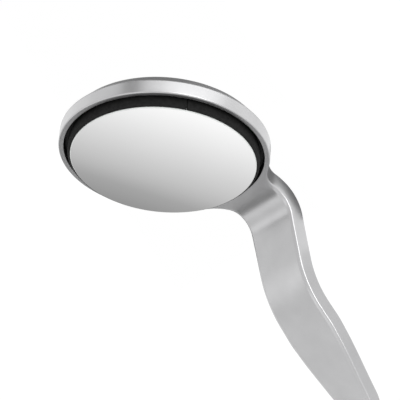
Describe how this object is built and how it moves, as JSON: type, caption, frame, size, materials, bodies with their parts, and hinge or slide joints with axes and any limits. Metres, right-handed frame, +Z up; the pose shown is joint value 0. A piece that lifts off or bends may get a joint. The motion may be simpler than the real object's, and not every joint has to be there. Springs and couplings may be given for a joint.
{
  "type": "mouth mirror",
  "caption": "Powered mouth mirror: a round mirror spins in an aluminium head on an S-bent flat neck that plugs into a slim battery handle with a push button and screw cap.",
  "frame": {"origin": "middle of the footprint, on the surface that the handle's flat underside rests on", "axes": "+X from the tail of the handle towards the mirror head, +Y across, +Z up; the mirror faces up and back towards the handle"},
  "size_m": [0.1906, 0.025, 0.0207],
  "materials": {
    "satin_aluminium": "bead-blasted, clear anodised",
    "mirror_glass": "front-surface rhodium coating on polished glass",
    "black_strip": "matte, fine grain",
    "steel": "ground",
    "magnet": "nickel plated",
    "copper_wire": "enamelled winding",
    "circuit_board": "green solder mask",
    "black_epoxy": "moulded",
    "black_silicone": "moulded, satin",
    "adhesive_film": "pressure-sensitive film",
    "polyimide_film": "film",
    "gold_plate": "plated contact",
    "black_nylon": "moulded",
    "clear_acrylic": "moulded, frosted end",
    "white_diode": "moulded",
    "cell_jacket": "plain shrink sleeve"
  },
  "bodies": {
    "handle": {"barrel": "satin_aluminium", "nose_cone": "satin_aluminium", "nose_seal": "black_silicone", "socket_body": "black_nylon", "socket_contact_1": "gold_plate", "socket_contact_2": "gold_plate", "grip_ring_1": "black_silicone", "grip_ring_2": "black_silicone", "grip_ring_3": "black_silicone", "grip_ring_4": "black_silicone", "chassis": "black_nylon", "circuit_board": "circuit_board", "motor_driver": "black_epoxy", "boost_inductor": "black_epoxy", "switch_body": "black_epoxy", "button_seal": "black_silicone", "status_led": "white_diode", "light_guide": "clear_acrylic", "battery_contact": "gold_plate", "battery_cell": "steel", "battery_jacket": "cell_jacket"},
    "head_unit": {"head_frame": "satin_aluminium", "head_back_cover": "satin_aluminium", "head_seal": "black_silicone", "neck_rear_cover": "satin_aluminium", "motor_board": "circuit_board", "coil_1": "copper_wire", "coil_2": "copper_wire", "coil_3": "copper_wire", "coil_4": "copper_wire", "coil_5": "copper_wire", "coil_6": "copper_wire", "hall_sensor": "black_epoxy", "bearing_outer_race": "steel", "flex_cable": "polyimide_film", "stem_o_ring_1": "black_silicone", "stem_o_ring_2": "black_silicone", "plug_body": "black_nylon", "plug_pin_1": "gold_plate", "plug_pin_2": "gold_plate"},
    "rotor": {"spindle": "steel", "spindle_clip": "steel", "rotor_plate": "steel", "ring_magnet": "magnet", "rotor_band": "black_strip", "mirror_adhesive": "adhesive_film", "mirror_glass": "mirror_glass", "bearing_inner_race": "steel"},
    "ball_cage": {"bearing_balls": "steel"},
    "button": {"power_button": "black_silicone", "switch_plunger": "black_nylon"},
    "cap_carrier": {"cap_contact": "gold_plate", "cap_spring": "steel"},
    "cap": {"battery_cap": "satin_aluminium", "cap_insert": "steel", "cap_o_ring": "black_silicone"}
  },
  "joints": [
    {"name": "head_pull", "type": "slide", "parent": "handle", "child": "head_unit", "axis": [1, 0, 0], "range_m": [0, 0.02]},
    {"name": "mirror_spin", "type": "hinge", "parent": "head_unit", "child": "rotor", "pos_m": [0.08474, 0, 0.01249], "axis": [-0.6561, 0, 0.7547], "continuous": true},
    {"name": "cage_spin", "type": "hinge", "parent": "head_unit", "child": "ball_cage", "pos_m": [0.08474, 0, 0.01249], "axis": [-0.6561, 0, 0.7547], "continuous": true},
    {"name": "button_press", "type": "slide", "parent": "handle", "child": "button", "axis": [0, 0, -1], "range_m": [0, 0.0004], "stiffness_N_per_m": 1500, "springref_m": -0.0002},
    {"name": "cap_slide", "type": "slide", "parent": "handle", "child": "cap_carrier", "axis": [-1, 0, 0], "range_m": [0, 0.006]},
    {"name": "cap_turn", "type": "hinge", "parent": "cap_carrier", "child": "cap", "pos_m": [-0.09526, 0, 0.00675], "axis": [-1, 0, 0], "range_deg": [0, 2161]}
  ],
  "couplings": [
    {"joint": "cage_spin", "follows": "mirror_spin", "ratio": 0.407},
    {"joint": "cap_turn", "follows": "cap_slide", "rad_per_m": 6283.2}
  ]
}
